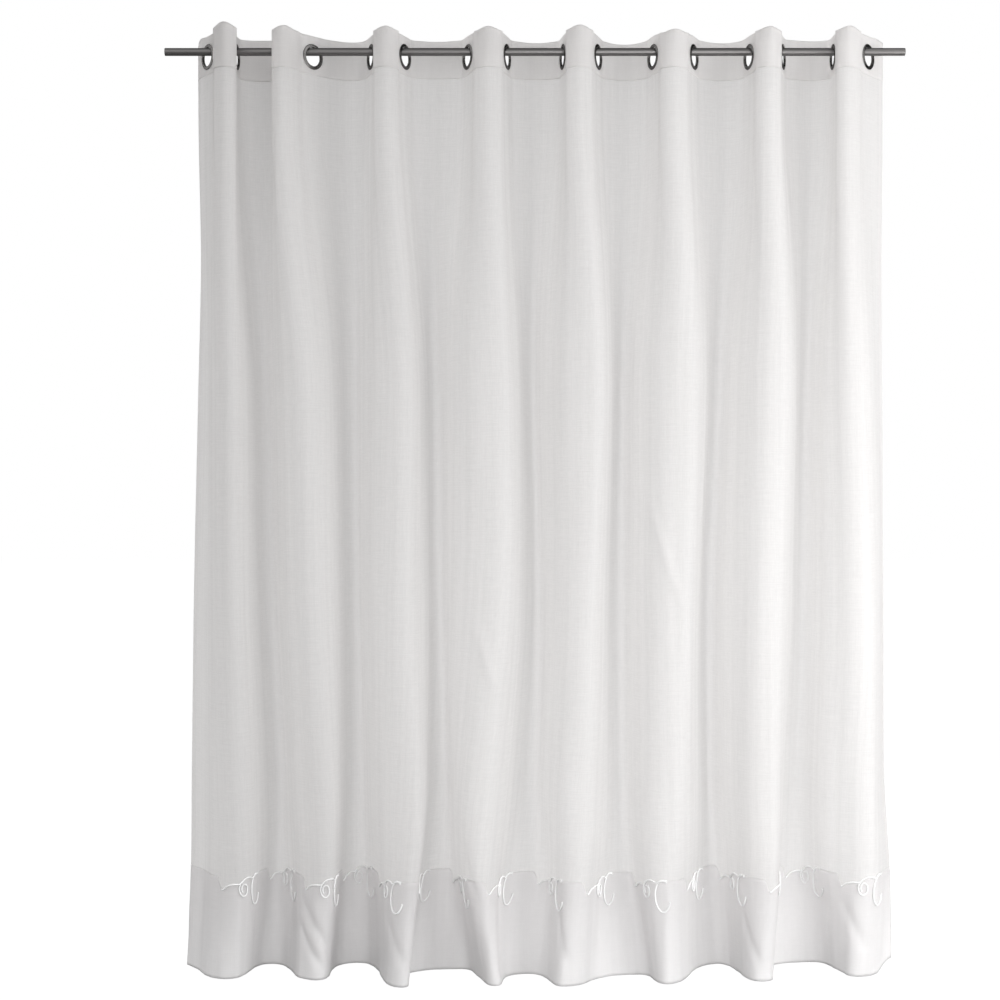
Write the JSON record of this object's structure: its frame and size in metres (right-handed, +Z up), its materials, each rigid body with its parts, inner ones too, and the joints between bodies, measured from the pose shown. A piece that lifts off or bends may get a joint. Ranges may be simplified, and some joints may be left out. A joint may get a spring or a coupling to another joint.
{
  "type": "sheer voile eyelet curtain on a curtain rod",
  "caption": "Sheer voile curtain with a doubled heading, steel eyelets and a deep doubled hem border, hanging in soft uneven folds from a plain steel rod.",
  "frame": {"origin": "middle of the rod, on its axis", "axes": "+X along the rod to the viewer's right, +Z up, and the curtain's front faces -Y"},
  "size_m": [1.928, 0.2356, 2.4611],
  "materials": {
    "rod_steel": "brushed, satin",
    "eyelet_steel": "satin nickel",
    "heading_cloth": "doubled linen-look voile, matt",
    "voile": "sheer linen-look plain weave with slubs",
    "border_cloth": "doubled close weave, matt, corded edge"
  },
  "bodies": {
    "root": {"rod": "rod_steel", "heading_band": "heading_cloth", "voile_panel": "voile", "hem_border": "border_cloth", "eyelet_01": "eyelet_steel", "eyelet_02": "eyelet_steel", "eyelet_03": "eyelet_steel", "eyelet_04": "eyelet_steel", "eyelet_05": "eyelet_steel", "eyelet_06": "eyelet_steel", "eyelet_07": "eyelet_steel", "eyelet_08": "eyelet_steel", "eyelet_09": "eyelet_steel", "eyelet_10": "eyelet_steel", "eyelet_11": "eyelet_steel", "eyelet_12": "eyelet_steel", "eyelet_13": "eyelet_steel", "eyelet_14": "eyelet_steel", "eyelet_15": "eyelet_steel", "eyelet_16": "eyelet_steel"}
  },
  "joints": []
}
